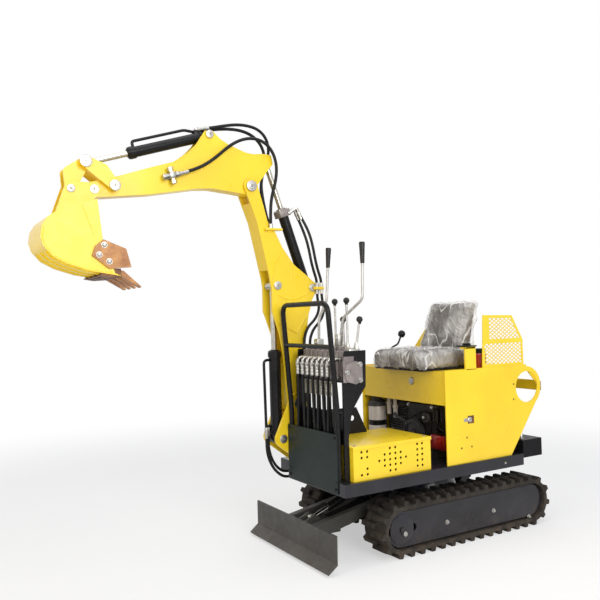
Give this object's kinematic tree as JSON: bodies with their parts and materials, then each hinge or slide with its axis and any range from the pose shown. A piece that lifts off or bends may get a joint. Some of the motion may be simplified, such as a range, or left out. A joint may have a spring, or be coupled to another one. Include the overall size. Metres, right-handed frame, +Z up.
{
  "type": "mini excavator",
  "caption": "Small open-seat tracked digger: rubber tracks, dozer blade, turning deck with seat and lever stand, and a boom, arm and toothed bucket on hydraulic cylinders.",
  "frame": {"origin": "middle of the machine's box on the ground", "axes": "+X forward, +Y left, +Z up"},
  "size_m": [2.8144, 0.83, 2.3075],
  "materials": {
    "yellow_paint": "gloss",
    "black_paint": "gloss",
    "dark_plate": "gloss",
    "blade_paint": "satin",
    "track_rubber": "matte",
    "chrome_rod": "polished",
    "zinc": "satin",
    "engine_grey": "matte",
    "cast_teeth": "matte",
    "seat_vinyl": "satin"
  },
  "bodies": {
    "undercarriage": {"chassis": "black_paint", "idler_left": "black_paint", "idler_right": "black_paint", "rollers_left": "black_paint", "rollers_right": "black_paint", "sprocket_left": "black_paint", "sprocket_right": "black_paint", "track_frame_left": "black_paint", "track_frame_right": "black_paint", "track_left": "track_rubber", "track_right": "track_rubber", "travel_motors": "black_paint", "turning_ring_fixed": "black_paint"},
    "upper": {"boom_bracket": "yellow_paint", "counterweight": "black_paint", "deck": "black_paint", "engine": "engine_grey", "foot_box": "yellow_paint", "front_plate": "dark_plate", "guard_frame": "black_paint", "levers": "zinc", "mesh_guard": "yellow_paint", "rear_bar": "yellow_paint", "seat_back": "seat_vinyl", "seat_cushion": "seat_vinyl", "side_panel_left": "yellow_paint", "side_panel_right": "yellow_paint", "tank": "yellow_paint", "valve": "engine_grey", "valve_stand": "black_paint"},
    "blade": {"blade": "blade_paint"},
    "blade_cylinder_barrel": {"blade_cylinder_barrel": "black_paint"},
    "blade_cylinder_rod": {"blade_cylinder_rod": "chrome_rod"},
    "boom": {"boom": "yellow_paint"},
    "boom_cylinder_barrel": {"boom_cylinder_barrel": "black_paint"},
    "boom_cylinder_rod": {"boom_cylinder_rod": "chrome_rod"},
    "arm": {"arm": "yellow_paint"},
    "arm_cylinder_barrel": {"arm_cylinder_barrel": "black_paint"},
    "arm_cylinder_rod": {"arm_cylinder_rod": "chrome_rod"},
    "rocker": {"rocker": "yellow_paint"},
    "bucket_link": {"bucket_link": "yellow_paint"},
    "bucket_cylinder_barrel": {"bucket_cylinder_barrel": "black_paint"},
    "bucket_cylinder_rod": {"bucket_cylinder_rod": "chrome_rod"},
    "bucket": {"bucket": "yellow_paint", "bucket_teeth": "cast_teeth"}
  },
  "joints": [
    {"name": "slew", "type": "hinge", "parent": "undercarriage", "child": "upper", "pos_m": [-0.7718, 0, 0.3], "axis": [0, 0, 1], "continuous": true},
    {"name": "boom_lift", "type": "hinge", "parent": "upper", "child": "boom", "pos_m": [-0.00179, -0.23, 0.78], "axis": [0, -1, 0], "range_deg": [-96, 6]},
    {"name": "arm_swing", "type": "hinge", "parent": "boom", "child": "arm", "pos_m": [0.26021, -0.23, 2.01], "axis": [0, -1, 0], "range_deg": [-45, 55]},
    {"name": "bucket_curl", "type": "hinge", "parent": "arm", "child": "bucket", "pos_m": [1.12721, -0.23, 1.931], "axis": [0, -1, 0], "range_deg": [-50, 104]},
    {"name": "blade_lift", "type": "hinge", "parent": "undercarriage", "child": "blade", "pos_m": [-0.37179, 0, 0.23], "axis": [0, -1, 0], "range_deg": [-20, 18]},
    {"name": "boom_cylinder_barrel_tilt", "type": "hinge", "parent": "upper", "child": "boom_cylinder_barrel", "pos_m": [0.10421, -0.23, 0.586], "axis": [0, -1, 0], "range_deg": [-84.93, 5.78]},
    {"name": "boom_cylinder_rod_slide", "type": "slide", "parent": "boom_cylinder_barrel", "child": "boom_cylinder_rod", "axis": [0.0058, 0, 1], "range_m": [-0.3028, 0.01939]},
    {"name": "arm_cylinder_barrel_tilt", "type": "hinge", "parent": "boom", "child": "arm_cylinder_barrel", "pos_m": [-0.1218, -0.23, 1.441], "axis": [0, -1, 0], "range_deg": [-5.92, 7.13]},
    {"name": "arm_cylinder_rod_slide", "type": "slide", "parent": "arm_cylinder_barrel", "child": "arm_cylinder_rod", "axis": [0.3336, 0, 0.9427], "range_m": [-0.16174, 0.13243]},
    {"name": "rocker_turn", "type": "hinge", "parent": "arm", "child": "rocker", "pos_m": [1.03021, -0.23, 1.954], "axis": [0, -1, 0], "range_deg": [-32.44, 66.94]},
    {"name": "bucket_link_turn", "type": "hinge", "parent": "rocker", "child": "bucket_link", "pos_m": [1.17271, -0.23, 2.063], "axis": [0, -1, 0], "range_deg": [-26.1, 12.81]},
    {"name": "bucket_cylinder_barrel_tilt", "type": "hinge", "parent": "arm", "child": "bucket_cylinder_barrel", "pos_m": [0.49921, -0.23, 2.279], "axis": [0, -1, 0], "range_deg": [-3.15, 6.02]},
    {"name": "bucket_cylinder_rod_slide", "type": "slide", "parent": "bucket_cylinder_barrel", "child": "bucket_cylinder_rod", "axis": [0.9522, 0, -0.3054], "range_m": [-0.18288, 0.08818]},
    {"name": "blade_cylinder_barrel_tilt", "type": "hinge", "parent": "undercarriage", "child": "blade_cylinder_barrel", "pos_m": [-0.3318, 0, 0.305], "axis": [0, -1, 0], "range_deg": [-20.93, 18.89]},
    {"name": "blade_cylinder_rod_slide", "type": "slide", "parent": "blade_cylinder_barrel", "child": "blade_cylinder_rod", "axis": [0.932, 0, -0.3624], "range_m": [-0.02652, 0.02941]}
  ],
  "couplings": [
    {"joint": "boom_cylinder_barrel_tilt", "follows": "boom_lift", "ratio": 0.87952},
    {"joint": "boom_cylinder_rod_slide", "follows": "boom_lift", "m_per_rad": 0.18042},
    {"joint": "arm_cylinder_barrel_tilt", "follows": "arm_swing", "ratio": 0.12049},
    {"joint": "arm_cylinder_rod_slide", "follows": "arm_swing", "m_per_rad": -0.16797},
    {"joint": "rocker_turn", "follows": "bucket_curl", "ratio": 0.63886},
    {"joint": "bucket_link_turn", "follows": "bucket_curl", "ratio": -0.24616},
    {"joint": "bucket_cylinder_barrel_tilt", "follows": "bucket_curl", "ratio": 0.053098},
    {"joint": "bucket_cylinder_rod_slide", "follows": "bucket_curl", "m_per_rad": -0.10048},
    {"joint": "blade_cylinder_barrel_tilt", "follows": "blade_lift", "ratio": 1.0217},
    {"joint": "blade_cylinder_rod_slide", "follows": "blade_lift", "m_per_rad": -0.082814}
  ]
}
